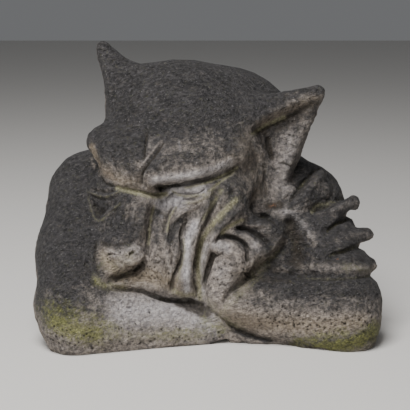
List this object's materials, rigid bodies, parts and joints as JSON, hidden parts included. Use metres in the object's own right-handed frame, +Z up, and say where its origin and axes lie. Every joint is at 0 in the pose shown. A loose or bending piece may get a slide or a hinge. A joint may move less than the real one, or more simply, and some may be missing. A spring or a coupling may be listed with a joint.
{
  "type": "garden gargoyle statue",
  "caption": "Weathered concrete garden gargoyle, a heavy-browed, bat-eared head asleep on folded arms with one fist under the cheek",
  "frame": {"origin": "centre of the bounding box at the level of the flat underside", "axes": "+Z up, -Y out of the front that shows the face and the folded arms, +X towards the ear and fist that face the viewer"},
  "size_m": [0.4, 0.2878, 0.3329],
  "materials": {
    "weathered_concrete": "rough, matte, weathered"
  },
  "bodies": {
    "root": {"gargoyle_statue": "weathered_concrete"}
  },
  "joints": []
}
